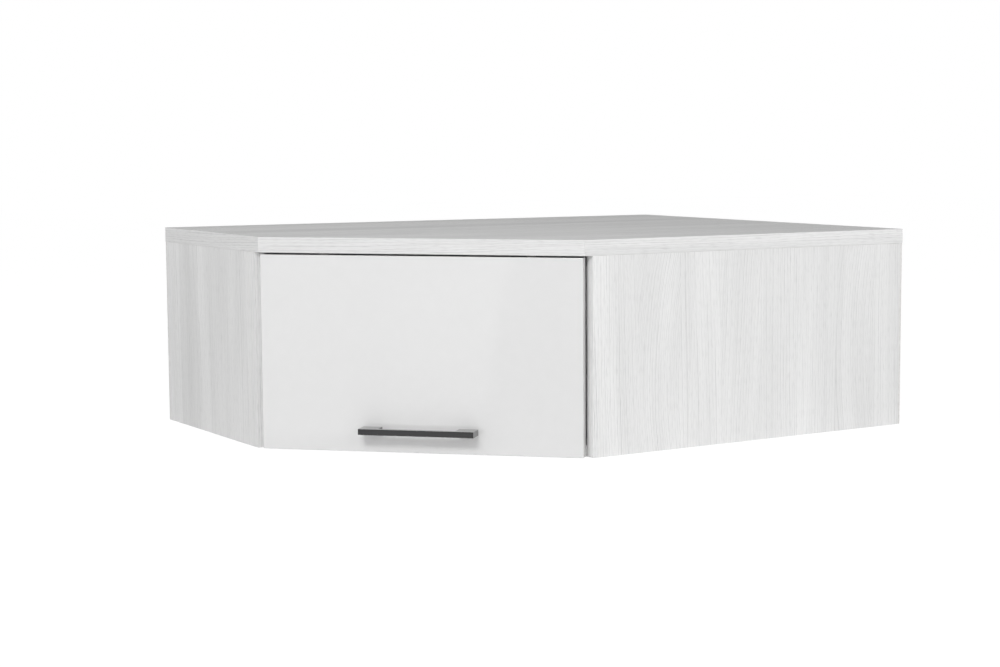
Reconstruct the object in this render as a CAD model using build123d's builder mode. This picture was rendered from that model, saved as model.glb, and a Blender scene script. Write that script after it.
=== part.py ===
"""Corner wall unit with a diagonal lift-up flap: boards, fittings, hinges, gas strut and handle."""

import os
from math import atan2, cos, degrees, hypot, pi, radians, sin

from build123d import *

os.makedirs("parts", exist_ok=True)

# Plan of the unit: two legs along the walls, two side depths, and the height
left_wall_length = 910
right_wall_length = 680
left_side_depth = 350
right_side_depth = 580
unit_height = 300

# Boards
top_thickness = 22
board_thickness = 16
back_thickness = 3
back_inset = 1
band_thickness = 1
arris = 0.6

# Flap and the gaps around it
flap_thickness = 16
flap_top_gap = 2.5
flap_bottom_gap = 1
flap_side_gap = 2.5
flap_edge_radius = 0.8
side_setback = 13
buffer_thickness = 1.7
buffer_radius = 5
buffer_taper = 40
buffer_edge_distance = 70
rest_gap = 0.3

# Wall rails and the corner stile
rail_height = 80
rail_dowel_half_spacing = 20
stile_width = 80
stile_dowel_half_spacing = 20
wall_hole_radius = 4
left_wall_hole_spacing = 640
right_wall_hole_spacing = 480

# Radial and end clearance round every fastener in its own hole
fit = 0.05

# Small fasteners are plain pegs with a few sides, in holes of the same form, and discs with more
peg_sides = 6
disc_sides = 12

# Knock-down fittings
cam_radius = 7.5
cam_length = 12
cam_setback = 24
cam_recess = 0.2
bolt_thread_radius = 2.5
bolt_thread_length = 10
bolt_neck_radius = 2
bolt_head_radius = 3.5
bolt_head_length = 3
bolt_bore_radius = 4
dowel_radius = 4
dowel_in_edge = 20
dowel_in_face = 10
fitting_end_distance = 60
dowel_from_cam = 32

# Back pins
pin_radius = 0.8
pin_length = 16
pin_head_radius = 2
pin_head_length = 0.8
pin_end_distance = 25
pin_rail_height = 15
pin_pitch = 300

# Hinges: one pivot each, inside the cup
hinge_half_spacing = 150
hinge_drop = 13
hinge_depth = 8.4
cup_radius = 17.5
cup_depth = 12.4
cup_wall = 1
cup_edge_distance = 22
cup_flange_thickness = 1.2
cup_flange_radius = 19.5
cup_flange_length = 60
cup_flange_width = 14
cup_screw_half_spacing = 24
pivot_radius = 1.5
arm_width = 9
arm_thickness = 3.5
arm_eye_radius = 3.2
arm_bend_radius = 5
arm_reach = 19.5
arm_dip = 11.5
arm_tail = 6
plate_length = 46
plate_gap = 10
plate_thickness = 8
plate_width = 14
wing_length = 12
wing_width = 50
wing_thickness = 2.5
wing_screw_half_spacing = 16
arm_screw_inset = 14

# Wood screws for the hinge cups, hinge plates and strut brackets
screw_radius = 1.75
screw_length = 13
screw_head_radius = 3.4
screw_head_length = 1.9
screw_head_rim = 0.4

# Gas strut, in the plane square to the hinge line
strut_end_distance = 28
strut_flap_drop = 38
strut_flap_back = 20
strut_rear_reach = 165
strut_rear_drop = 30
strut_eye_radius = 6
strut_eye_width = 7
strut_eye_bore = 2.5
strut_eye_length = 14
strut_tube_radius = 7.5
strut_tube_wall = 1.2
strut_tube_length = 92
strut_gland_length = 8
strut_rod_radius = 3
strut_rod_tail = 107
strut_piston_length = 6
strut_pin_head_radius = 4.5
strut_pin_head_length = 1.5
bracket_thickness = 2
bracket_foot_width = 16
bracket_length = 44
bracket_screw_half_spacing = 14
bracket_web_radius = 9

# Bar handle
handle_length = 165
handle_height = 8.3
handle_reach = 27
handle_bar_thickness = 7
handle_foot_length = 27
handle_rise = 31.5
handle_inner_radius = 3
handle_arris = 0.7
handle_hole_half_spacing = 64
handle_screw_radius = 2
handle_screw_head_radius = 4.2
handle_screw_head_length = 2.2
handle_screw_grip = 9

# Corners of the plan, with the room's corner behind at low x and high y
x_low = -right_wall_length / 2
x_high = right_wall_length / 2
y_low = -left_wall_length / 2
y_high = left_wall_length / 2
left_end = Vector(x_low, y_low)
room_corner = Vector(x_low, y_high)
right_end = Vector(x_high, y_high)
left_front = Vector(x_low + left_side_depth, y_low)
right_front = Vector(x_high, y_high - right_side_depth)

# The diagonal front: along it, out of it and up
up = Vector(0, 0, 1)
along = (right_front - left_front).normalized()
outward = along.cross(up)
inward = outward * -1
front_length = (right_front - left_front).length
front_middle = (left_front + right_front) * 0.5

# Levels and depths that several pieces share
side_height = unit_height - top_thickness
bottom_front_depth = flap_thickness + rest_gap + buffer_thickness
flap_width = front_length - 2 * flap_side_gap
flap_top = side_height - flap_top_gap
flap_height = flap_top - flap_bottom_gap
x_back = x_low + back_inset + back_thickness
y_back = y_high - back_inset - back_thickness
x_inner = x_high - board_thickness
y_inner = y_low + board_thickness
rail_low = side_height - rail_height
left_side_end = left_front.X - side_setback
right_side_end = right_front.Y + side_setback
hinge_out = -hinge_depth
hinge_level = flap_top - hinge_drop


def front_at_y(y, depth):
    """Point of the diagonal line at a depth behind the top's front edge, where it crosses y."""
    start = left_front + inward * depth
    return start + along * ((y - start.Y) / along.Y)


def front_at_x(x, depth):
    """Point of the diagonal line at a depth behind the top's front edge, where it crosses x."""
    start = left_front + inward * depth
    return start + along * ((x - start.X) / along.X)


def on_front(across, out, level):
    """Point given along the diagonal from its middle, out from the top's front edge, and up."""
    return front_middle + along * across + outward * out + up * level


def face_plane(out):
    """Plane of the flap's face: x runs along the diagonal, y up, z out of the unit."""
    return Plane(origin=on_front(0, out, 0), x_dir=along, z_dir=outward)


def section_plane(across):
    """Plane square to the hinge line: x runs out of the unit, y up."""
    return Plane(origin=on_front(across, 0, 0), x_dir=outward, z_dir=along * -1)


def plan_plane(level):
    """Level plane on the flap: x runs along the diagonal, y into the unit."""
    return Plane(origin=on_front(0, 0, level), x_dir=along, z_dir=up)


def site(point, direction):
    """Place for a fastener or a hole: it starts at the point and runs along the direction."""
    return Plane(origin=point, z_dir=direction).location


def bore(sites, radius, depth):
    """Cut one round hole at each site of the piece being built."""
    with Locations(*sites):
        Cylinder(radius, depth, align=from_base, mode=Mode.SUBTRACT)


def prism(points, low, high):
    """Add an upright board with the given outline to the piece being built."""
    with BuildSketch(Plane.XY.offset(low)) as outline:
        with BuildLine():
            Polyline(*points, close=True)
        make_face()
    extrude(outline.sketch, amount=high - low)


def block_points(x_from, x_to, y_from, y_to):
    """Corners of a rectangle, going round once."""
    return [Vector(x_from, y_from), Vector(x_to, y_from), Vector(x_to, y_to), Vector(x_from, y_to)]


def pegs(sites, radius, length, sides=peg_sides, taper=0, mode=Mode.ADD):
    """Add a peg with a few sides at each site of the piece being built, or cut it away."""
    with BuildSketch(*[Plane(place) for place in sites]) as section:
        RegularPolygon(radius, sides)
    extrude(section.sketch, amount=length, taper=taper, mode=mode)


def sockets(sites, radius, depth, sides=peg_sides):
    """Cut the hole of a peg at each site, with clearance round it and at its end."""
    pegs(sites, radius + fit, depth + fit, sides, mode=Mode.SUBTRACT)


def screw_head(clearance):
    """One flush head that tapers in to a wood screw's shank, at the origin, grown by a clearance."""
    narrowing = (screw_head_radius - screw_radius) * cos(pi / peg_sides)
    with BuildPart() as head:
        pegs([Location()], screw_head_radius + clearance, screw_head_length + clearance)
        inner_end = head.faces().sort_by(Axis.Z)[-1]
        chamfer(inner_end.edges(), narrowing, screw_head_length - screw_head_rim, reference=inner_end)
    return head.part


plain_head = screw_head(0)
grown_head = screw_head(fit)


def wood_screws(sites, length):
    """Add a wood screw at each site of the piece being built."""
    pegs(sites, screw_radius, length)
    with Locations(*sites):
        add(plain_head)


def screw_seats(sites, depth):
    """Cut the clearance hole and the seat of a wood screw at each site."""
    sockets(sites, screw_radius, depth)
    with Locations(*sites):
        add(grown_head, mode=Mode.SUBTRACT)


def spread(low, high):
    """Evenly spaced places between two ends, about one pin pitch apart."""
    count = max(2, round((high - low) / pin_pitch) + 1)
    return [low + (high - low) * index / (count - 1) for index in range(count)]


from_base = (Align.CENTER, Align.CENTER, Align.MIN)
from_low_end = (Align.MIN, Align.CENTER, Align.MIN)

# Where boards meet: each entry is the joint's point, the way into the other board, and the cam's face
left_run = (x_back + fitting_end_distance, left_side_end - fitting_end_distance)
right_run = (right_side_end + fitting_end_distance, y_back - fitting_end_distance)
left_mid = y_low + board_thickness / 2
right_mid = x_high - board_thickness / 2
half_board = board_thickness / 2
left_top_cams = [(Vector(x, left_mid, side_height), up, Vector(0, 1, 0)) for x in left_run]
right_top_cams = [(Vector(right_mid, y, side_height), up, Vector(-1, 0, 0)) for y in right_run]
left_bottom_cams = [(Vector(x, y_inner, half_board), Vector(0, -1, 0), up * -1) for x in left_run]
right_bottom_cams = [(Vector(x_inner, y, half_board), Vector(1, 0, 0), up * -1) for y in right_run]
top_cams = left_top_cams + right_top_cams
bottom_cams = left_bottom_cams + right_bottom_cams
all_cams = top_cams + bottom_cams
cam_floor = cam_recess + cam_length


def inward_runs(run):
    """Places of the two dowels that stand between the two cams of a joint."""
    return (run[0] + dowel_from_cam, run[1] - dowel_from_cam)


# Dowel joints: the point on the joint, and the way into the board whose face is bored
left_top_dowels = [(Vector(x, left_mid, side_height), up) for x in inward_runs(left_run)]
right_top_dowels = [(Vector(right_mid, y, side_height), up) for y in inward_runs(right_run)]
left_bottom_dowels = [(Vector(x, y_inner, half_board), Vector(0, -1, 0)) for x in inward_runs(left_run)]
right_bottom_dowels = [(Vector(x_inner, y, half_board), Vector(1, 0, 0)) for y in inward_runs(right_run)]
left_rail_mid = x_back + half_board
right_rail_mid = y_back - half_board
rail_mid_level = side_height - rail_height / 2
rail_end_levels = (rail_mid_level - rail_dowel_half_spacing, rail_mid_level + rail_dowel_half_spacing)
left_rail_end_dowels = [(Vector(left_rail_mid, y_inner, z), Vector(0, -1, 0)) for z in rail_end_levels]
right_rail_end_dowels = [(Vector(x_inner, right_rail_mid, z), Vector(1, 0, 0)) for z in rail_end_levels]
corner_dowels = [(Vector(x_back + board_thickness, right_rail_mid, z), Vector(-1, 0, 0))
                 for z in rail_end_levels]
stile_middle = y_back - stile_width / 2
stile_places = (stile_middle - stile_dowel_half_spacing, stile_middle + stile_dowel_half_spacing)
stile_foot_dowels = [(Vector(left_rail_mid, y, board_thickness), up * -1) for y in stile_places]
stile_head_dowels = [(Vector(left_rail_mid, y, rail_low), up) for y in stile_places]
top_dowels = left_top_dowels + right_top_dowels
all_dowels = (top_dowels + left_bottom_dowels + right_bottom_dowels + left_rail_end_dowels
              + right_rail_end_dowels + corner_dowels + stile_foot_dowels + stile_head_dowels)


def bore_dowel_faces(joints):
    """Cut the shallow dowel holes in a board's face."""
    sockets([site(point, way) for point, way in joints], dowel_radius, dowel_in_face)


def bore_dowel_edges(joints):
    """Cut the deep dowel holes in a board's edge."""
    ends = [site(point - way * (dowel_in_edge + fit), way) for point, way in joints]
    sockets(ends, dowel_radius, dowel_in_edge)


def cam_site(cam, depth):
    """Place at a depth under the board's face over a cam: x runs to the joint, z out of the face."""
    point, way, face = cam
    middle = point - way * cam_setback + face * (half_board - depth)
    return Plane(origin=middle, x_dir=way, z_dir=face).location


def bore_cams(cams):
    """Cut the cam pockets in the face and the bolt channels in the edge of the holding board."""
    sockets([cam_site(cam, cam_floor + fit) for cam in cams], cam_radius, cam_floor, disc_sides)
    pegs([site(point, way * -1) for point, way, face in cams], bolt_bore_radius, cam_setback,
         mode=Mode.SUBTRACT)


def bore_bolts(cams):
    """Cut the holes of the cam bolts' threaded ends in the other board."""
    sockets([site(point, way) for point, way, face in cams], bolt_thread_radius, bolt_thread_length)


# Hinge and strut places
hinge_places = (-hinge_half_spacing, hinge_half_spacing)
plate_front_out = hinge_out - arm_reach - plate_gap
plate_back_out = plate_front_out - plate_length
wing_middle = plate_front_out - plate_length / 2
arm_level = side_height - plate_thickness - arm_thickness / 2
wing_screw_sites = [site(on_front(place + step, wing_middle, side_height - wing_thickness), up)
                    for place in hinge_places
                    for step in (-wing_screw_half_spacing, wing_screw_half_spacing)]
arm_screw_sites = [site(on_front(place, plate_front_out - arm_screw_inset, arm_level - arm_thickness / 2), up)
                   for place in hinge_places]
cup_level = flap_top - cup_edge_distance
flap_back_out = -flap_thickness
cup_screw_sites = [site(on_front(place + step, flap_back_out - cup_flange_thickness, cup_level), outward)
                   for place in hinge_places
                   for step in (-cup_screw_half_spacing, cup_screw_half_spacing)]

# The strut's two pivots at rest, its length closed and open, and its turn, for a quarter turn of the flap
flap_pivot = (hinge_out - strut_flap_back, hinge_level - strut_flap_drop)
rear_pivot = (hinge_out - strut_rear_reach, hinge_level - strut_rear_drop)
open_pivot = (hinge_out + strut_flap_drop, hinge_level - strut_flap_back)
closed_span = (flap_pivot[0] - rear_pivot[0], flap_pivot[1] - rear_pivot[1])
open_span = (open_pivot[0] - rear_pivot[0], open_pivot[1] - rear_pivot[1])
strut_length = hypot(*closed_span)
strut_stroke = hypot(*open_span) - strut_length
strut_slope = atan2(closed_span[1], closed_span[0])
strut_turn = atan2(open_span[1], open_span[0]) - strut_slope
strut_middle = strut_end_distance - front_length / 2
web_middle = strut_middle - strut_eye_width / 2 - rest_gap - bracket_thickness / 2
strut_way = outward * cos(strut_slope) + up * sin(strut_slope)
strut_start = on_front(strut_middle, *rear_pivot)
flap_bracket_sites = [site(on_front(web_middle - bracket_thickness / 2 - bracket_foot_width / 2,
                                     flap_back_out - bracket_thickness, flap_pivot[1] + step), outward)
                       for step in (-bracket_screw_half_spacing, bracket_screw_half_spacing)]
top_bracket_sites = [site(on_front(web_middle - bracket_thickness / 2 - bracket_foot_width / 2,
                                     rear_pivot[0] + step, side_height - bracket_thickness), up)
                       for step in (-bracket_screw_half_spacing, bracket_screw_half_spacing)]


def past(start, way, depth):
    """The same sites moved on by a depth, where a screw enters the wood behind a fitting."""
    return [Location(place.position + way * depth, place.orientation) for place in start]


handle_level = flap_bottom_gap + handle_rise
handle_screw_places = (-handle_hole_half_spacing, handle_hole_half_spacing)
handle_screw_sites = [site(on_front(place, flap_back_out, handle_level), outward)
                      for place in handle_screw_places]

# Wall screw holes, one pair through each rail and back sheet
left_hole_middle = (y_inner + y_back) / 2
left_rail_face = x_back + board_thickness
right_rail_face = y_back - board_thickness
right_hole_middle = (left_rail_face + x_inner) / 2
left_wall_holes = [site(Vector(left_rail_face, left_hole_middle + step, rail_mid_level), Vector(-1, 0, 0))
                   for step in (-left_wall_hole_spacing / 2, left_wall_hole_spacing / 2)]
right_wall_holes = [site(Vector(right_hole_middle + step, right_rail_face, rail_mid_level), Vector(0, 1, 0))
                    for step in (-right_wall_hole_spacing / 2, right_wall_hole_spacing / 2)]
wall_hole_depth = board_thickness + back_thickness + back_inset

# Back pins round the edges of the two back sheets, driven from behind
pin_levels = (half_board, rail_low + pin_rail_height)
left_pins = [Vector(x_low + back_inset, y, z) for z in pin_levels
             for y in spread(y_low + half_board, y_back - pin_end_distance)]
right_pins = [Vector(x, y_high - back_inset, z) for z in pin_levels
              for x in spread(x_back + pin_end_distance, x_high - half_board)]
left_pin_sites = [site(point, Vector(1, 0, 0)) for point in left_pins]
right_pin_sites = [site(point, Vector(0, -1, 0)) for point in right_pins]
pin_sites = left_pin_sites + right_pin_sites

# Top board and the bands on its three free edges, mitred at the corners
band_left_end = Vector(x_low, y_low + band_thickness)
band_left_front = front_at_y(y_low + band_thickness, band_thickness)
band_right_front = front_at_x(x_high - band_thickness, band_thickness)
band_right_end = Vector(x_high - band_thickness, y_high)

with BuildPart() as top_panel:
    prism([band_left_end, band_left_front, band_right_front, band_right_end, room_corner],
          side_height, unit_height)
    bore_dowel_faces(top_dowels)
    bore_bolts(top_cams)
    sockets(past(wing_screw_sites, up, wing_thickness), screw_radius, screw_length - wing_thickness)
    sockets(past(top_bracket_sites, up, bracket_thickness), screw_radius, screw_length - bracket_thickness)

band_outlines = [
    [left_end, left_front, band_left_front, band_left_end],
    [left_front, right_front, band_right_front, band_left_front],
    [right_front, right_end, band_right_end, band_right_front],
]


def top_band(outline):
    """One edging strip of the top, with its two long outer arrises rounded."""
    middle = (outline[0] + outline[1]) * 0.5
    with BuildPart() as strip:
        prism(outline, side_height, unit_height)
        outer = [edge for edge in strip.edges().filter_by(Plane.XY)
                 if (edge.center() - middle).cross(up).length < fit]
        fillet(outer, arris)
    return strip


top_band_left, top_band_front, top_band_right = [top_band(outline) for outline in band_outlines]

# Sides, square cut behind the flap, with a band on each front end
with BuildPart() as left_side:
    prism(block_points(x_back, left_side_end - band_thickness, y_low, y_inner), 0, side_height)
    bore_cams(left_top_cams)
    bore_bolts(left_bottom_cams)
    bore_dowel_edges(left_top_dowels)
    bore_dowel_faces(left_bottom_dowels + left_rail_end_dowels)
    sockets(left_pin_sites, pin_radius, pin_length)

with BuildPart() as right_side:
    prism(block_points(x_inner, x_high, right_side_end + band_thickness, y_back), 0, side_height)
    bore_cams(right_top_cams)
    bore_bolts(right_bottom_cams)
    bore_dowel_edges(right_top_dowels)
    bore_dowel_faces(right_bottom_dowels + right_rail_end_dowels)
    sockets(right_pin_sites, pin_radius, pin_length)

with BuildPart() as left_side_band:
    prism(block_points(left_side_end - band_thickness, left_side_end, y_low, y_inner), 0, side_height)

with BuildPart() as right_side_band:
    prism(block_points(x_inner, x_high, right_side_end, right_side_end + band_thickness), 0, side_height)

# Bottom board between the sides, with its banded front edge behind the flap
band_depth = bottom_front_depth + band_thickness
bottom_left = front_at_y(y_inner, band_depth)
bottom_right = front_at_x(x_inner, band_depth)
bottom_outline = [Vector(x_back, y_inner), bottom_left, bottom_right, Vector(x_inner, y_back),
                  Vector(x_back, y_back)]
with BuildPart() as bottom_panel:
    prism(bottom_outline, 0, board_thickness)
    bore_cams(bottom_cams)
    bore_dowel_edges(left_bottom_dowels + right_bottom_dowels)
    bore_dowel_faces(stile_foot_dowels)
    sockets(pin_sites, pin_radius, pin_length)

with BuildPart() as bottom_edge_band:
    prism([bottom_left, front_at_y(y_inner, bottom_front_depth), front_at_x(x_inner, bottom_front_depth),
           bottom_right], 0, board_thickness)

# Back sheets, wall rails and the stile in the room's corner
with BuildPart() as back_left:
    prism(block_points(x_low + back_inset, x_back, y_low, y_high - back_inset), 0, side_height)
    bore(left_wall_holes, wall_hole_radius, wall_hole_depth)
    sockets(left_pin_sites, pin_radius, pin_length)

with BuildPart() as back_right:
    prism(block_points(x_back, x_high, y_back, y_high - back_inset), 0, side_height)
    bore(right_wall_holes, wall_hole_radius, wall_hole_depth)
    sockets(right_pin_sites, pin_radius, pin_length)

with BuildPart() as wall_rail_left:
    prism(block_points(x_back, left_rail_face, y_inner, y_back), rail_low, side_height)
    bore_dowel_edges(left_rail_end_dowels)
    bore_dowel_faces(corner_dowels + stile_head_dowels)
    bore(left_wall_holes, wall_hole_radius, wall_hole_depth)
    sockets(pin_sites, pin_radius, pin_length)

with BuildPart() as wall_rail_right:
    prism(block_points(left_rail_face, x_inner, right_rail_face, y_back), rail_low, side_height)
    bore_dowel_edges(right_rail_end_dowels + corner_dowels)
    bore(right_wall_holes, wall_hole_radius, wall_hole_depth)
    sockets(right_pin_sites, pin_radius, pin_length)

with BuildPart() as corner_stile:
    prism(block_points(x_back, left_rail_face, y_back - stile_width, y_back), board_thickness, rail_low)
    bore_dowel_edges(stile_foot_dowels + stile_head_dowels)

# Cams with an open jaw for the bolt's head, their bolts, the dowels and the back pins
jaw_length = cam_radius + 2 * bolt_head_length
jaw_height = cam_floor - half_board + bolt_bore_radius
with BuildPart() as cams:
    cam_ends = [cam_site(cam, cam_floor) for cam in all_cams]
    pegs(cam_ends, cam_radius, cam_length, disc_sides)
    with Locations(*cam_ends):
        with Locations((-bolt_head_length, 0)):
            Box(jaw_length, 2 * bolt_bore_radius, jaw_height, align=from_low_end, mode=Mode.SUBTRACT)

with BuildPart() as cam_bolts:
    pegs([site(point, way) for point, way, face in all_cams], bolt_thread_radius, bolt_thread_length)
    pegs([site(point, way * -1) for point, way, face in all_cams], bolt_neck_radius, cam_setback)
    pegs([site(point - way * (cam_setback + bolt_head_length / 2), way) for point, way, face in all_cams],
         bolt_head_radius, bolt_head_length)

with BuildPart() as dowels:
    pegs([site(point - way * dowel_in_edge, way) for point, way in all_dowels], dowel_radius,
         dowel_in_edge + dowel_in_face)

with BuildPart() as back_pins:
    pegs(pin_sites, pin_radius, pin_length)
    pegs(pin_sites, pin_head_radius, -pin_head_length)

# Flap with its cup bores and screw holes
with BuildPart() as flap_panel:
    with BuildSketch(face_plane(flap_back_out)):
        with Locations((0, flap_bottom_gap + flap_height / 2)):
            Rectangle(flap_width, flap_height)
    extrude(amount=flap_thickness)
    front_face = flap_panel.faces().sort_by(Axis(on_front(0, 0, 0), outward))[-1]
    fillet(front_face.edges(), flap_edge_radius)
    bore([site(on_front(place, flap_back_out, cup_level), outward) for place in hinge_places],
         cup_radius + fit, cup_depth + fit)
    screw_seats(cup_screw_sites, screw_length)
    sockets(past(flap_bracket_sites, outward, bracket_thickness), screw_radius,
            screw_length - bracket_thickness)
    sockets(handle_screw_sites, handle_screw_radius, flap_thickness)

# Bar handle: a flat bar on two feet, with its two machine screws
handle_front = -handle_reach
handle_bar_back = handle_front + handle_bar_thickness
foot_inner = handle_length / 2 - handle_foot_length
with BuildPart() as handle:
    with BuildSketch(plan_plane(handle_level - handle_height / 2)):
        with BuildLine():
            Polyline(
                (-handle_length / 2, 0),
                (-handle_length / 2, handle_front),
                (handle_length / 2, handle_front),
                (handle_length / 2, 0),
                (foot_inner, 0),
                (foot_inner, handle_bar_back),
                (-foot_inner, handle_bar_back),
                (-foot_inner, 0),
                close=True,
            )
        make_face()
    extrude(amount=handle_height)
    inner_corners = [edge for edge in handle.edges().filter_by(Axis.Z)
                     if any((edge.center() - on_front(place, -handle_bar_back, handle_level)).length < fit
                            for place in (-foot_inner, foot_inner))]
    fillet(inner_corners, handle_inner_radius)
    bar_front = handle.faces().sort_by(Axis(on_front(0, 0, 0), outward))[-1]
    fillet(bar_front.edges(), handle_arris)
    sockets(past(handle_screw_sites, outward, flap_thickness), handle_screw_radius, handle_screw_grip)

with BuildPart() as handle_screws:
    pegs(handle_screw_sites, handle_screw_radius, flap_thickness + handle_screw_grip)
    pegs(handle_screw_sites, handle_screw_head_radius, -handle_screw_head_length)

# Hinges: cup in the flap, pivot pin across it, swan-neck arm and its plate under the top
with BuildPart() as hinge_cups:
    for place in hinge_places:
        cup_middle = on_front(place, flap_back_out, cup_level)
        mouth = Plane(origin=cup_middle, x_dir=along, z_dir=outward)
        with BuildSketch(mouth):
            SlotOverall(cup_flange_length, cup_flange_width)
            Circle(cup_flange_radius)
        extrude(amount=-cup_flange_thickness)
        with BuildSketch(mouth):
            Circle(cup_radius)
        extrude(amount=cup_depth)
        with BuildSketch(mouth.offset(-cup_flange_thickness)):
            Circle(cup_radius - cup_wall)
        extrude(amount=cup_flange_thickness + cup_depth - cup_wall, mode=Mode.SUBTRACT)
    pivot_half = cup_radius - cup_wall
    pegs([site(on_front(place - pivot_half, hinge_out, hinge_level), along) for place in hinge_places],
         (pivot_radius + fit) / cos(pi / peg_sides), 2 * pivot_half, mode=Mode.SUBTRACT)
    screw_seats(cup_screw_sites, screw_length)

pivot_rise = hinge_level - cup_level
pivot_length = 2 * (cup_radius ** 2 - (pivot_rise + pivot_radius) ** 2) ** 0.5 - 2 * fit
with BuildPart() as hinge_pins:
    with Locations(*[site(on_front(place, hinge_out, hinge_level), along) for place in hinge_places]):
        Cylinder(pivot_radius, pivot_length)

neck_points = [
    (plate_back_out + arm_tail, arm_level),
    (hinge_out - arm_reach, arm_level),
    (hinge_out - arm_reach, hinge_level - arm_dip),
    (hinge_out, hinge_level - arm_dip),
    (hinge_out, hinge_level),
]
with BuildPart() as hinge_arms:
    for place in hinge_places:
        with BuildSketch(section_plane(place)):
            with BuildLine():
                neck = FilletPolyline(*neck_points, radius=arm_bend_radius)
            trace(neck, line_width=arm_thickness)
            with Locations((hinge_out, hinge_level)):
                Circle(arm_eye_radius)
                Circle(pivot_radius + fit, mode=Mode.SUBTRACT)
        extrude(amount=arm_width / 2, both=True)
    sockets(arm_screw_sites, screw_radius, arm_thickness)

with BuildPart() as hinge_plates:
    for place in hinge_places:
        with BuildSketch(section_plane(place)):
            with BuildLine():
                Polyline(
                    (plate_front_out, side_height),
                    (plate_back_out, side_height),
                    (plate_back_out, side_height - plate_thickness),
                    (plate_front_out, side_height - plate_thickness),
                    close=True,
                )
            make_face()
        extrude(amount=plate_width / 2, both=True)
        with BuildSketch(section_plane(place)):
            with Locations((wing_middle, side_height - wing_thickness / 2)):
                Rectangle(wing_length, wing_thickness)
        extrude(amount=wing_width / 2, both=True)
    screw_seats(wing_screw_sites, wing_thickness)
    sockets(past(arm_screw_sites, up, arm_thickness), screw_radius, plate_thickness - wing_thickness)

with BuildPart() as hinge_plate_screws:
    wood_screws(wing_screw_sites, screw_length)

with BuildPart() as hinge_arm_screws:
    pegs(arm_screw_sites, screw_radius, arm_thickness + plate_thickness - wing_thickness)
    pegs(arm_screw_sites, screw_head_radius, -screw_head_length)

with BuildPart() as hinge_cup_screws:
    wood_screws(cup_screw_sites, screw_length)

# Strut brackets: an angled steel plate on the flap and one under the top
with BuildPart() as strut_flap_bracket:
    with BuildSketch(face_plane(flap_back_out)):
        with Locations((web_middle + bracket_thickness / 2 - (bracket_foot_width + bracket_thickness) / 2,
                        flap_pivot[1])):
            Rectangle(bracket_foot_width + bracket_thickness, bracket_length)
    extrude(amount=-bracket_thickness)
    with BuildSketch(section_plane(web_middle)):
        with BuildLine():
            Polyline(
                (flap_back_out, flap_pivot[1] - bracket_web_radius),
                (flap_back_out, flap_pivot[1] + bracket_web_radius),
                (flap_pivot[0], flap_pivot[1] + bracket_web_radius),
                (flap_pivot[0], flap_pivot[1] - bracket_web_radius),
                close=True,
            )
        make_face()
        with Locations(flap_pivot):
            Circle(bracket_web_radius)
    extrude(amount=bracket_thickness / 2, both=True)
    screw_seats(flap_bracket_sites, bracket_thickness)

with BuildPart() as strut_top_bracket:
    with BuildSketch(plan_plane(side_height)):
        with Locations((web_middle + bracket_thickness / 2 - (bracket_foot_width + bracket_thickness) / 2,
                        -rear_pivot[0])):
            Rectangle(bracket_foot_width + bracket_thickness, bracket_length)
    extrude(amount=-bracket_thickness)
    with BuildSketch(section_plane(web_middle)):
        with BuildLine():
            Polyline(
                (rear_pivot[0] - bracket_web_radius, side_height),
                (rear_pivot[0] + bracket_web_radius, side_height),
                (rear_pivot[0] + bracket_web_radius, rear_pivot[1]),
                (rear_pivot[0] - bracket_web_radius, rear_pivot[1]),
                close=True,
            )
        make_face()
        with Locations(rear_pivot):
            Circle(bracket_web_radius)
            Circle(strut_eye_bore + fit, mode=Mode.SUBTRACT)
    extrude(amount=bracket_thickness / 2, both=True)
    screw_seats(top_bracket_sites, bracket_thickness)

with BuildPart() as top_bracket_screws:
    wood_screws(top_bracket_sites, screw_length)

with BuildPart() as flap_bracket_screws:
    wood_screws(flap_bracket_sites, screw_length)

# Rear pivot pin, fixed in the top bracket's web
pin_span = strut_eye_width + rest_gap + bracket_thickness + rest_gap
with BuildPart() as strut_rear_pin:
    rear_pin_site = site(on_front(web_middle - bracket_thickness / 2, *rear_pivot), along)
    with Locations(rear_pin_site):
        Cylinder(strut_eye_bore, pin_span, align=from_base)
    pegs([rear_pin_site], strut_pin_head_radius, -strut_pin_head_length, disc_sides)


def strut_plane(distance):
    """Plane square to the strut, at a distance from its rear pivot."""
    return Plane(origin=strut_start + strut_way * distance, x_dir=along, z_dir=strut_way)


def eye_end(pivot, turn):
    """Add a flat eye, whose neck is turned from level by an angle, to the piece being built."""
    with BuildSketch(section_plane(strut_middle)) as profile:
        with Locations(Location((*pivot, 0), (0, 0, degrees(turn)))):
            RegularPolygon(strut_eye_radius, disc_sides)
            Rectangle(strut_eye_length, strut_eye_width, align=(Align.MIN, Align.CENTER))
            Circle(strut_eye_bore + fit, mode=Mode.SUBTRACT)
    extrude(profile.sketch, amount=strut_eye_width / 2, both=True)


with BuildPart() as strut_rear_eye:
    eye_end(rear_pivot, strut_slope)

with BuildPart() as strut_tube:
    with BuildSketch(strut_plane(strut_eye_length)):
        Circle(strut_tube_radius)
    extrude(amount=strut_tube_length)
    with BuildSketch(strut_plane(strut_eye_length + strut_tube_wall)):
        Circle(strut_tube_radius - strut_tube_wall)
    extrude(amount=strut_tube_length - strut_tube_wall, mode=Mode.SUBTRACT)

gland_start = strut_eye_length + strut_tube_length - strut_gland_length
with BuildPart() as strut_gland:
    with BuildSketch(strut_plane(gland_start)):
        RegularPolygon(strut_tube_radius - strut_tube_wall - fit, disc_sides)
        Circle(strut_rod_radius + fit, mode=Mode.SUBTRACT)
    extrude(amount=strut_gland_length)

rod_tail = strut_length - strut_rod_tail
rod_length = strut_rod_tail - strut_eye_length
with BuildPart() as strut_rod:
    with BuildSketch(strut_plane(rod_tail)):
        Circle(strut_rod_radius)
    extrude(amount=rod_length)

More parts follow.
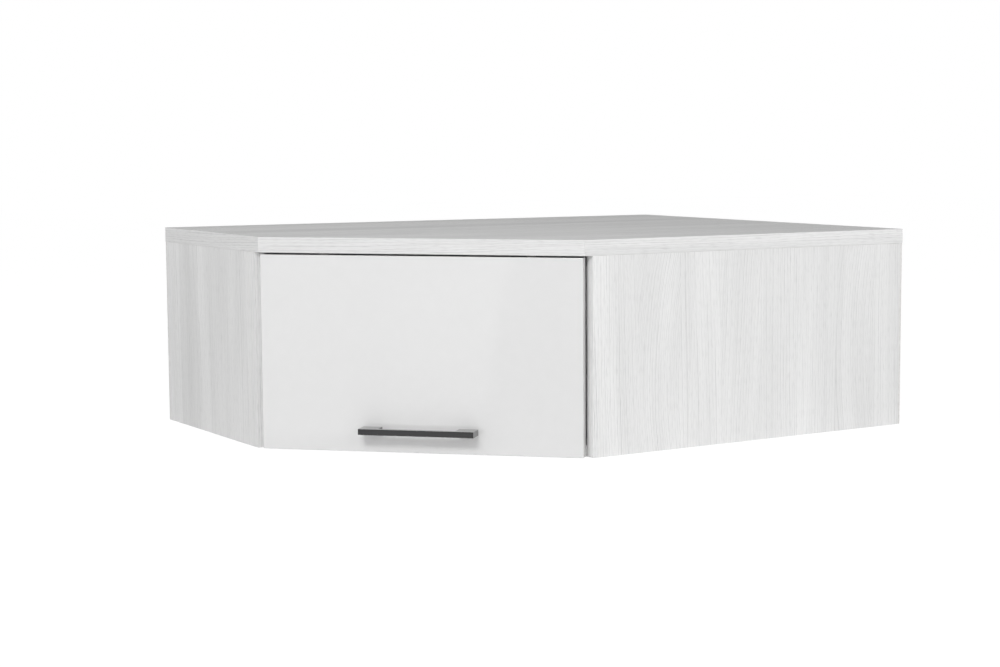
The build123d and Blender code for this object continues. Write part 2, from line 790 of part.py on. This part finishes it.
with BuildPart() as strut_piston:
    with BuildSketch(strut_plane(rod_tail - strut_piston_length)):
        RegularPolygon(strut_tube_radius - strut_tube_wall - fit, disc_sides)
    extrude(amount=strut_piston_length)

with BuildPart() as strut_rod_eye:
    eye_end(flap_pivot, strut_slope + pi)

# Front pivot pin rides in the rod's eye and stops just short of the flap bracket's web
with BuildPart() as strut_front_pin:
    with Locations(site(on_front(strut_middle - strut_eye_width / 2, *flap_pivot), along)):
        Cylinder(strut_eye_bore, strut_eye_width, align=from_base)
    pegs([site(on_front(strut_middle + strut_eye_width / 2, *flap_pivot), along)], strut_pin_head_radius,
         strut_pin_head_length, disc_sides)

# Soft buffers on the bottom board's front edge
buffer_places = (-front_length / 2 + buffer_edge_distance, front_length / 2 - buffer_edge_distance)
buffer_sites = [site(on_front(place, -bottom_front_depth, half_board), outward) for place in buffer_places]
with BuildPart() as flap_buffers:
    pegs(buffer_sites, buffer_radius, buffer_thickness, disc_sides, buffer_taper)

pieces = {
    "top_panel": top_panel,
    "top_band_left": top_band_left,
    "top_band_front": top_band_front,
    "top_band_right": top_band_right,
    "left_side": left_side,
    "right_side": right_side,
    "left_side_band": left_side_band,
    "right_side_band": right_side_band,
    "bottom_panel": bottom_panel,
    "bottom_edge_band": bottom_edge_band,
    "back_left": back_left,
    "back_right": back_right,
    "wall_rail_left": wall_rail_left,
    "wall_rail_right": wall_rail_right,
    "corner_stile": corner_stile,
    "cams": cams,
    "cam_bolts": cam_bolts,
    "dowels": dowels,
    "back_pins": back_pins,
    "flap_buffers": flap_buffers,
    "flap_panel": flap_panel,
    "handle": handle,
    "handle_screws": handle_screws,
    "hinge_cups": hinge_cups,
    "hinge_pins": hinge_pins,
    "hinge_cup_screws": hinge_cup_screws,
    "hinge_arms": hinge_arms,
    "hinge_plates": hinge_plates,
    "hinge_plate_screws": hinge_plate_screws,
    "hinge_arm_screws": hinge_arm_screws,
    "strut_flap_bracket": strut_flap_bracket,
    "flap_bracket_screws": flap_bracket_screws,
    "strut_top_bracket": strut_top_bracket,
    "top_bracket_screws": top_bracket_screws,
    "strut_rear_pin": strut_rear_pin,
    "strut_rear_eye": strut_rear_eye,
    "strut_tube": strut_tube,
    "strut_gland": strut_gland,
    "strut_rod": strut_rod,
    "strut_piston": strut_piston,
    "strut_rod_eye": strut_rod_eye,
    "strut_front_pin": strut_front_pin,
}
for label, piece in pieces.items():
    piece.part.label = label
    export_step(piece.part, f"parts/{label}.step")

print("hinge line", [round(value / 1000, 6) for value in on_front(0, hinge_out, hinge_level)],
      "axis", [round(-value, 6) for value in along])
print("strut pivot", [round(value / 1000, 6) for value in strut_start],
      "way", [round(value, 6) for value in strut_way])
print("strut turn", round(degrees(strut_turn), 4), "deg, stroke", round(strut_stroke, 4), "mm")
print("turn per flap turn", round(strut_turn / radians(90), 6),
      "stroke per radian", round(strut_stroke / 1000 / radians(90), 6))
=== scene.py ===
import math

import bpy
from mathutils import Matrix, Vector

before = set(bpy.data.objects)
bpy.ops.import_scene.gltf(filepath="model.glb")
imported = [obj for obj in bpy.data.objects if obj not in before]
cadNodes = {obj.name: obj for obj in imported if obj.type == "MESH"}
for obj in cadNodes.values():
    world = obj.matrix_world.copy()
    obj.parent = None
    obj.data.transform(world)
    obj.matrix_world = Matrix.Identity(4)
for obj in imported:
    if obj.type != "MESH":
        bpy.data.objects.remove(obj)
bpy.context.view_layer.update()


def addNode(tree, kind, inputs=None, **settings):
    node = tree.nodes.new(kind)
    for key, value in settings.items():
        setattr(node, key, value)
    for key, value in (inputs or {}).items():
        if isinstance(value, bpy.types.NodeSocket):
            tree.links.new(value, node.inputs[key])
        else:
            node.inputs[key].default_value = value
    return node


def newMaterial(name):
    made = bpy.data.materials.new(name)
    made.use_nodes = True
    tree = made.node_tree
    tree.nodes.clear()
    output = addNode(tree, "ShaderNodeOutputMaterial")
    shader = addNode(tree, "ShaderNodeBsdfPrincipled")
    tree.links.new(shader.outputs["BSDF"], output.inputs["Surface"])
    return made, tree, shader


def setShader(shader, values):
    for key, value in values.items():
        shader.inputs[key].default_value = value


def scaledVector(tree, vector, factors):
    made = addNode(tree, "ShaderNodeVectorMath", {0: vector, 1: factors}, operation="MULTIPLY")
    return made.outputs["Vector"]


def noise(tree, vector, scale, detail=2.0, roughness=0.5):
    made = addNode(tree, "ShaderNodeTexNoise", {"Vector": vector, "Scale": scale, "Detail": detail,
                                                "Roughness": roughness})
    return made.outputs["Fac"]


def spread(tree, value, fromLow, fromHigh, toLow, toHigh):
    made = addNode(tree, "ShaderNodeMapRange", {"Value": value, "From Min": fromLow, "From Max": fromHigh,
                                                "To Min": toLow, "To Max": toHigh})
    return made.outputs["Result"]


def maths(tree, operation, first, second):
    return addNode(tree, "ShaderNodeMath", {0: first, 1: second}, operation=operation).outputs["Value"]


def ramp(tree, value, stops):
    made = addNode(tree, "ShaderNodeValToRGB", {"Fac": value})
    band = made.color_ramp
    while len(band.elements) < len(stops):
        band.elements.new(0.5)
    for element, (place, colour) in zip(band.elements, stops):
        element.position = place
        element.color = (*colour, 1)
    return made.outputs["Color"]


def dress(made, *names):
    for name in names:
        slots = cadNodes[name].data.materials
        slots.clear()
        slots.append(made)


# Pale embossed laminate. Fine lines run along the grain, counted outwards from a far tree axis.
# The print comes in staves some centimetres wide, each with its own tone, lean and bow of the lines.
quarter = math.pi / 2
turns = {"x": (0, 0, 0), "y": (0, 0, -quarter), "z": (0, quarter, 0), "diagonal": (0, 0, -quarter / 2)}

lineLook = {"swellRun": 1.6, "swellPitch": 0.22, "swell": 2.6, "breakRun": 9.0, "breakStep": 3.7,
            "breaks": (0.32, 0.56), "faintest": 0.25}
printLook = {"drift": (2.4, 5, 5), "cloudRun": 1.6, "cloudPitch": 20.0, "cloudShare": 0.72,
             "toneShare": 0.28, "bands": (0.32, 0.68), "fleckPitch": 4.5, "pores": (0.50, 0.72),
             "thinPitch": 2.1, "thinWidth": 1.7, "roughness": (0.60, 0.78), "relief": 0.0004,
             "specular": 0.12}


def product(tree, first, second):
    return maths(tree, "MULTIPLY", first, second)


def fromHalf(tree, value):
    return maths(tree, "SUBTRACT", value, 0.5)


def grainNoise(tree, along, out, run, pitch, detail):
    stretched = addNode(tree, "ShaderNodeCombineXYZ", {"X": product(tree, along, run),
                                                       "Y": product(tree, out, pitch)})
    return noise(tree, stretched.outputs["Vector"], 1.0, detail)


def chanceOf(tree, number, output):
    return addNode(tree, "ShaderNodeTexWhiteNoise", {"W": number}, noise_dimensions="1D").outputs[output]


# A line runs in the middle of each counted strip, with its own depth, and fades in and out on its way.
def fineLines(tree, along, out, pitch, width):
    swell = grainNoise(tree, along, out, lineLook["swellRun"], pitch * lineLook["swellPitch"], 1.0)
    count = maths(tree, "ADD", product(tree, out, pitch), product(tree, swell, lineLook["swell"]))
    line = maths(tree, "FLOOR", count, 0)
    offMiddle = maths(tree, "ABSOLUTE", fromHalf(tree, maths(tree, "FRACT", count, 0)), 0)
    drawn = spread(tree, offMiddle, 0.0, width, 1.0, 0.0)
    depth = spread(tree, chanceOf(tree, line, "Value"), 0.0, 1.0, lineLook["faintest"], 1.0)
    run = grainNoise(tree, along, line, lineLook["breakRun"], lineLook["breakStep"], 2.0)
    return product(tree, drawn, product(tree, depth, spread(tree, run, *lineLook["breaks"], 0.0, 1.0)))


def laminate(name, grain):
    made, tree, shader = newMaterial(name)
    place = addNode(tree, "ShaderNodeTexCoord").outputs["Object"]
    moved = addNode(tree, "ShaderNodeMapping", {"Vector": place, "Location": [-v for v in grain["axis"]]})
    turned = addNode(tree, "ShaderNodeMapping", {"Vector": moved.outputs["Vector"],
                                                 "Rotation": turns[grain["way"]]})
    lying = turned.outputs["Vector"]
    along = addNode(tree, "ShaderNodeSeparateXYZ", {"Vector": lying}).outputs["X"]
    across = scaledVector(tree, lying, (0, 1, 1))
    fromAxis = addNode(tree, "ShaderNodeVectorMath", {0: across}, operation="LENGTH").outputs["Value"]
    drift = noise(tree, scaledVector(tree, lying, printLook["drift"]), 1.0, 1.0)
    out = maths(tree, "ADD", fromAxis, product(tree, fromHalf(tree, drift), grain["wander"]))

    stave = maths(tree, "FLOOR", product(tree, out, grain["staves"]), 0)
    chances = addNode(tree, "ShaderNodeSeparateXYZ", {"Vector": chanceOf(tree, stave, "Color")})
    lean, bow, tone = chances.outputs
    lean = maths(tree, "POWER", fromHalf(tree, lean), 3)  # cubed, so most staves run nearly straight
    bow = maths(tree, "POWER", fromHalf(tree, bow), 3)
    lean = product(tree, lean, product(tree, along, grain["lean"]))
    bow = product(tree, bow, product(tree, product(tree, along, along), grain["bow"]))
    out = maths(tree, "ADD", out, maths(tree, "ADD", lean, bow))

    clouds = grainNoise(tree, along, out, printLook["cloudRun"], printLook["cloudPitch"], 2.0)
    clouds = product(tree, clouds, printLook["cloudShare"])
    shade = maths(tree, "ADD", clouds, product(tree, tone, printLook["toneShare"]))
    greyAt, paleAt = printLook["bands"]  # broad pale and grey bands
    body = ramp(tree, shade, [(greyAt, grain["grey"]), (paleAt, grain["pale"])])

    pitch, width = grain["lines"], grain["width"]
    strongInk, thinInk, poreInk = grain["ink"]
    strong = product(tree, fineLines(tree, along, out, pitch, width), strongInk)
    thin = fineLines(tree, along, out, pitch * printLook["thinPitch"], width * printLook["thinWidth"])
    flecks = grainNoise(tree, along, out, grain["flecks"], pitch * printLook["fleckPitch"], 1.0)
    pores = spread(tree, flecks, *printLook["pores"], 0.0, 1.0)  # short sunk strokes
    ink = maths(tree, "ADD", strong, product(tree, thin, thinInk))
    ink = maths(tree, "ADD", ink, product(tree, pores, poreInk))
    stained = addNode(tree, "ShaderNodeMix", {"Factor": ink, "A": body, "B": (*grain["stroke"], 1)},
                      data_type="RGBA")
    tree.links.new(stained.outputs["Result"], shader.inputs["Base Color"])
    tree.links.new(spread(tree, ink, 0.0, 1.0, *printLook["roughness"]), shader.inputs["Roughness"])
    bump = addNode(tree, "ShaderNodeBump", {"Strength": grain["bump"], "Distance": printLook["relief"],
                                            "Height": ink}, invert=True)
    tree.links.new(bump.outputs["Normal"], shader.inputs["Normal"])
    setShader(shader, {"Specular IOR Level": printLook["specular"], "IOR": 1.5})
    return made


boardTones = {"pale": (0.86, 0.86, 0.858), "grey": (0.745, 0.746, 0.744), "stroke": (0.38, 0.38, 0.38),
              "ink": (0.62, 0.5, 0.16), "lines": 200, "width": 0.085, "flecks": 70, "staves": 14,
              "wander": 0.014, "lean": 0.5, "bow": 0.4, "bump": 0.15}

leftSideGrain = {"way": "z", "axis": (-1.4, -0.2, 0.139), **boardTones, "bow": 3.0}
dress(laminate("laminateLeftSide", leftSideGrain), "left_side")

rightSideGrain = {"way": "z", "axis": (0.1, -1.3, 0.139), **boardTones, "bow": 5.0}
dress(laminate("laminateRightSide", rightSideGrain), "right_side")

topGrain = {"way": "y", "axis": (-1.3, 0.1, 0.1), **boardTones, "ink": (0.9, 0.65, 0.2)}
dress(laminate("laminateTop", topGrain), "top_panel")

bottomGrain = {"way": "y", "axis": (-1.1, 0, 0.2), **boardTones}
dress(laminate("laminateBottom", bottomGrain), "bottom_panel")

leftRailGrain = {"way": "y", "axis": (-0.5, 0, -1.1), **boardTones}
dress(laminate("laminateLeftRail", leftRailGrain), "wall_rail_left")

rightRailGrain = {"way": "x", "axis": (0, 0.2, -1.2), **boardTones}
dress(laminate("laminateRightRail", rightRailGrain), "wall_rail_right")

stileGrain = {"way": "z", "axis": (-0.5, -0.9, 0), **boardTones}
dress(laminate("laminateStile", stileGrain), "corner_stile")
print("boards dressed")

bandTones = {**boardTones, "pale": (0.885, 0.885, 0.883), "grey": (0.785, 0.786, 0.784),
             "ink": (0.5, 0.4, 0.22), "lines": 260, "width": 0.12, "flecks": 60, "wander": 0.012}

leftBandGrain = {"way": "x", "axis": (0, -0.30, -0.6), **bandTones}
dress(laminate("bandLeft", leftBandGrain), "top_band_left")

frontBandGrain = {"way": "diagonal", "axis": (0.05, -0.12, -0.6), **bandTones}
dress(laminate("bandFront", frontBandGrain), "top_band_front", "bottom_edge_band")

# The right-facing strip is given darker tones than the front and left strips.
rightBandGrain = {"way": "y", "axis": (0.20, 0, -0.7), **bandTones, "pale": (0.86, 0.86, 0.858),
                  "grey": (0.765, 0.766, 0.764)}
dress(laminate("bandRight", rightBandGrain), "top_band_right")

# The end strips at the front of both sides get paler tones than the other edging. This is painted light: it
# stands in for the light these strips lack in the narrow shaded gap beside the flap.
endTonesPaintedLight = {**bandTones, "pale": (0.93, 0.93, 0.928), "grey": (0.87, 0.87, 0.868)}

leftEndGrainPaintedLight = {"way": "z", "axis": (-0.1, -1.1, 0), **endTonesPaintedLight}
dress(laminate("bandLeftEnd", leftEndGrainPaintedLight), "left_side_band")

rightEndGrainPaintedLight = {"way": "z", "axis": (-0.6, 0, 0), **endTonesPaintedLight}
dress(laminate("bandRightEnd", rightEndGrainPaintedLight), "right_side_band")
print("edging dressed")


# Plain finishes: two close tones mixed by a stretched noise, which also drives roughness and a fine relief.
mottleLook = {"detail": 3.0, "roughness": 0.55, "darkAt": 0.3, "paleAt": 0.7}


def finish(name, look):
    made, tree, shader = newMaterial(name)
    place = addNode(tree, "ShaderNodeTexCoord").outputs["Object"]
    turned = addNode(tree, "ShaderNodeMapping", {"Vector": place, "Rotation": look.get("turn", (0, 0, 0))})
    grained = scaledVector(tree, turned.outputs["Vector"], look["stretch"])
    mottle = noise(tree, grained, 1.0, mottleLook["detail"], mottleLook["roughness"])
    darkAt, paleAt = mottleLook["darkAt"], mottleLook["paleAt"]
    tint = ramp(tree, mottle, [(darkAt, look["dark"]), (paleAt, look["pale"])])
    tree.links.new(tint, shader.inputs["Base Color"])
    tree.links.new(spread(tree, mottle, darkAt, paleAt, *look["roughness"]), shader.inputs["Roughness"])
    bump = addNode(tree, "ShaderNodeBump", {"Strength": look["bump"], "Distance": look["relief"],
                                            "Height": mottle})
    tree.links.new(bump.outputs["Normal"], shader.inputs["Normal"])
    setShader(shader, look.get("shader", {}))
    return made


glossLacquer = {"stretch": (60, 60, 60), "dark": (0.760, 0.760, 0.760), "pale": (0.770, 0.770, 0.770),
                "roughness": (0.012, 0.02), "bump": 0.006, "relief": 0.0005,
                "shader": {"IOR": 1.5, "Coat Weight": 0.6, "Coat Roughness": 0.01}}
dress(finish("glossLacquer", glossLacquer), "flap_panel")

handleMetal = {"stretch": (60, 900, 900), "turn": (0, 0, -quarter / 2), "dark": (0.011, 0.011, 0.012),
               "pale": (0.017, 0.017, 0.018), "roughness": (0.08, 0.14), "bump": 0.02, "relief": 0.0001,
               "shader": {"Metallic": 1.0, "Coat Weight": 0.85, "Coat Roughness": 0.04}}
dress(finish("handleMetal", handleMetal), "handle")

hardboard = {"stretch": (240, 240, 240), "dark": (0.66, 0.655, 0.64), "pale": (0.76, 0.755, 0.745),
             "roughness": (0.55, 0.75), "bump": 0.12, "relief": 0.0003,
             "shader": {"Specular IOR Level": 0.3}}
dress(finish("hardboard", hardboard), "back_left", "back_right")

beech = {"stretch": (500, 500, 60), "dark": (0.45, 0.29, 0.16), "pale": (0.60, 0.42, 0.26),
         "roughness": (0.6, 0.8), "bump": 0.2, "relief": 0.0003}
dress(finish("beech", beech), "dowels")

zinc = {"stretch": (420, 420, 420), "dark": (0.50, 0.51, 0.52), "pale": (0.68, 0.69, 0.70),
        "roughness": (0.26, 0.44), "bump": 0.05, "relief": 0.0001, "shader": {"Metallic": 1.0}}
dress(finish("zincPlate", zinc), "cams", "cam_bolts", "back_pins", "handle_screws", "hinge_cup_screws",
      "hinge_plate_screws", "hinge_arm_screws", "flap_bracket_screws", "top_bracket_screws",
      "strut_rear_pin", "strut_front_pin", "hinge_pins", "strut_flap_bracket", "strut_top_bracket")

nickel = {"stretch": (90, 900, 900), "turn": (0, 0, quarter / 2), "dark": (0.60, 0.59, 0.57),
          "pale": (0.74, 0.73, 0.71), "roughness": (0.16, 0.30), "bump": 0.06, "relief": 0.0001,
          "shader": {"Metallic": 1.0}}
dress(finish("nickelPlate", nickel), "hinge_cups", "hinge_arms", "hinge_plates")

strutPaint = {"stretch": (700, 700, 700), "dark": (0.030, 0.030, 0.032), "pale": (0.044, 0.044, 0.046),
              "roughness": (0.32, 0.45), "bump": 0.08, "relief": 0.0001}
dress(finish("strutPaint", strutPaint), "strut_tube")

hardChrome = {"stretch": (60, 1500, 1500), "turn": (0, 0, quarter / 2), "dark": (0.70, 0.70, 0.71),
              "pale": (0.80, 0.80, 0.81), "roughness": (0.05, 0.12), "bump": 0.02, "relief": 0.0001,
              "shader": {"Metallic": 1.0}}
dress(finish("hardChrome", hardChrome), "strut_rod")

mouldedBlack = {"stretch": (600, 600, 600), "dark": (0.018, 0.018, 0.018), "pale": (0.030, 0.030, 0.030),
                "roughness": (0.45, 0.60), "bump": 0.12, "relief": 0.0002}
dress(finish("mouldedBlack", mouldedBlack), "strut_rear_eye", "strut_rod_eye", "strut_gland",
      "strut_piston")

softBuffer = {"stretch": (300, 300, 300), "dark": (0.62, 0.63, 0.64), "pale": (0.70, 0.71, 0.72),
              "roughness": (0.35, 0.5), "bump": 0.05, "relief": 0.0002,
              "shader": {"Subsurface Weight": 0.3, "Subsurface Scale": 0.002}}
dress(finish("softBuffer", softBuffer), "flap_buffers")
print("fittings dressed")


# The white backdrop is for rays from the camera, off gloss and through glass, and gives no diffuse light.
def backdropRays(tree):
    rays = addNode(tree, "ShaderNodeLightPath").outputs
    mirrored = maths(tree, "MAXIMUM", rays["Is Glossy Ray"], rays["Is Transmission Ray"])
    return maths(tree, "MAXIMUM", rays["Is Camera Ray"], mirrored)


# Floor: one wide flat sheet, pale, shown nearly white, so that the unit's soft shadow stays on it.
floorLook = {"half": 9.0, "dark": (0.835, 0.835, 0.835), "pale": (0.84, 0.84, 0.84), "mottle": 3.0,
             "shownWhite": 0.88, "glow": 1.1}
floorMesh = bpy.data.meshes.new("floor")
reach = floorLook["half"]
floorCorners = [(-reach, -reach, 0), (reach, -reach, 0), (reach, reach, 0), (-reach, reach, 0)]
floorMesh.from_pydata(floorCorners, [], [(0, 1, 2, 3)])
floor = bpy.data.objects.new("floor", floorMesh)
bpy.context.collection.objects.link(floor)
floorPaint, floorTree, floorShader = newMaterial("floorPaint")
floorPlace = addNode(floorTree, "ShaderNodeTexCoord").outputs["Object"]
floorMottle = noise(floorTree, floorPlace, floorLook["mottle"], mottleLook["detail"])
floorTint = ramp(floorTree, floorMottle, [(mottleLook["darkAt"], floorLook["dark"]),
                                          (mottleLook["paleAt"], floorLook["pale"])])
floorTree.links.new(floorTint, floorShader.inputs["Base Color"])
setShader(floorShader, {"Roughness": 0.9, "Specular IOR Level": 0.0})
glow = addNode(floorTree, "ShaderNodeEmission", {"Color": (1, 1, 1, 1), "Strength": floorLook["glow"]})
share = product(floorTree, backdropRays(floorTree), floorLook["shownWhite"])
blend = addNode(floorTree, "ShaderNodeMixShader", {0: share, 1: floorShader.outputs["BSDF"],
                                                   2: glow.outputs["Emission"]})
floorOut = [node for node in floorTree.nodes if node.type == "OUTPUT_MATERIAL"][0]
floorTree.links.new(blend.outputs["Shader"], floorOut.inputs["Surface"])
floorMesh.materials.append(floorPaint)

# Room light: bright near the horizon, dark overhead, dimmer behind the unit, plain white as a backdrop.
skyLook = {"horizon": 1.0, "overhead": 0.0, "front": (0.86, -0.51, 0), "behind": 0.45,
           "dimming": (-0.5, 0.3), "strength": 1.22, "backdrop": 1.0}
world = bpy.data.worlds.new("studio")
world.use_nodes = True
bpy.context.scene.world = world
skyTree = world.node_tree
skyTree.nodes.clear()
skyWay = addNode(skyTree, "ShaderNodeTexCoord").outputs["Generated"]
skyHeight = addNode(skyTree, "ShaderNodeSeparateXYZ", {"Vector": skyWay}).outputs["Z"]
skyFront = addNode(skyTree, "ShaderNodeVectorMath", {0: skyWay, 1: skyLook["front"]},
                   operation="DOT_PRODUCT")
skyLevel = spread(skyTree, skyHeight, 0.0, 1.0, skyLook["horizon"], skyLook["overhead"])
skySide = spread(skyTree, skyFront.outputs["Value"], *skyLook["dimming"], skyLook["behind"], 1.0)
skyTone = product(skyTree, skyLevel, skySide)
skyLight = addNode(skyTree, "ShaderNodeBackground", {"Color": skyTone, "Strength": skyLook["strength"]})
skyWhite = addNode(skyTree, "ShaderNodeBackground", {"Color": (1, 1, 1, 1),
                                                     "Strength": skyLook["backdrop"]})
skyMix = addNode(skyTree, "ShaderNodeMixShader", {0: backdropRays(skyTree),
                                                  1: skyLight.outputs["Background"],
                                                  2: skyWhite.outputs["Background"]})
skyOut = addNode(skyTree, "ShaderNodeOutputWorld")
skyTree.links.new(skyMix.outputs["Shader"], skyOut.inputs["Surface"])


def addLight(name, look):
    lamp = bpy.data.lights.new(name, "AREA")
    lamp.shape = "RECTANGLE"
    lamp.size, lamp.size_y = look["size"]
    lamp.energy = look["watts"]
    made = bpy.data.objects.new(name, lamp)
    bpy.context.collection.objects.link(made)
    made.location = look["place"]
    made.rotation_mode = "QUATERNION"
    made.rotation_quaternion = (Vector(look["aim"]) - Vector(look["place"])).to_track_quat("-Z", "Y")
    made.visible_camera = False
    return made


lampAim = (0.1, -0.2, 0.12)
keyLook = {"size": (0.9, 0.6), "watts": 34, "place": (1.95, -2.06, 1.85), "aim": lampAim}
addLight("keySoftbox", keyLook)
rightLook = {"size": (1.4, 1.0), "watts": 18, "place": (2.5, 1.6, 0.9), "aim": lampAim}
addLight("rightSoftbox", rightLook)
leftLook = {"size": (1.2, 0.8), "watts": 5.8, "place": (-1.9, -2.7, 0.9), "aim": lampAim}
addLight("leftSoftbox", leftLook)
topLook = {"size": (0.8, 0.8), "watts": 0.7, "place": (0.15, -0.3, 1.4), "aim": (0.15, -0.3, 0.3)}
addLight("topSoftbox", topLook)


# Two reflector cards lie on the floor before the flap, so its gloss shows slanting steps: each card has
# one long edge on a line from the flap outwards and reaches to the left of it. They show in gloss alone.
def addFloorCard(name, look):
    begin, end = Vector((*look["from"], look["lift"])), Vector((*look["to"], look["lift"]))
    way = (end - begin).normalized()
    aside = Vector((way.y, -way.x, 0))
    length = (end - begin).length
    middle = (begin + end) / 2 + aside * look["width"] / 2
    watts = look["glow"] * math.pi * length * look["width"]  # glow is the card's brightness, 1 for white
    card = addLight(name, {"size": (length, look["width"]), "watts": watts, "place": middle,
                           "aim": middle + Vector((0, 0, 1))})
    card.rotation_quaternion = Matrix((way, aside, way.cross(aside))).transposed().to_quaternion()
    card.visible_diffuse = False


firstCard = {"from": (0.21, -0.47), "to": (2.95, -5.45), "lift": 0.004, "width": 2.5, "glow": 0.30}
addFloorCard("firstCard", firstCard)
secondCard = {"from": (0.32, -0.37), "to": (3.25, -5.13), "lift": 0.004, "width": 2.5, "glow": 0.36}
addFloorCard("secondCard", secondCard)
print("stage and lights set")

# Camera: yaw is turned from +X towards +Y, pitch is up from level.
view = {"place": (2.50234, -1.54916, 0.43495), "yaw": 145.5774, "pitch": -5.7812, "lens": 68.864,
        "shift": (-0.12, 0), "sensor": 36, "clip": (0.05, 60)}
lens = bpy.data.cameras.new("camera")
lens.lens = view["lens"]
lens.sensor_width = view["sensor"]
lens.shift_x, lens.shift_y = view["shift"]
lens.clip_start, lens.clip_end = view["clip"]
camera = bpy.data.objects.new("camera", lens)
bpy.context.collection.objects.link(camera)
camera.location = view["place"]
yaw, pitch = math.radians(view["yaw"]), math.radians(view["pitch"])
looking = Vector((math.cos(yaw) * math.cos(pitch), math.sin(yaw) * math.cos(pitch), math.sin(pitch)))
camera.rotation_mode = "QUATERNION"
camera.rotation_quaternion = looking.to_track_quat("-Z", "Y")
bpy.context.scene.camera = camera
bpy.context.scene.view_settings.view_transform = "Standard"
print("camera set")
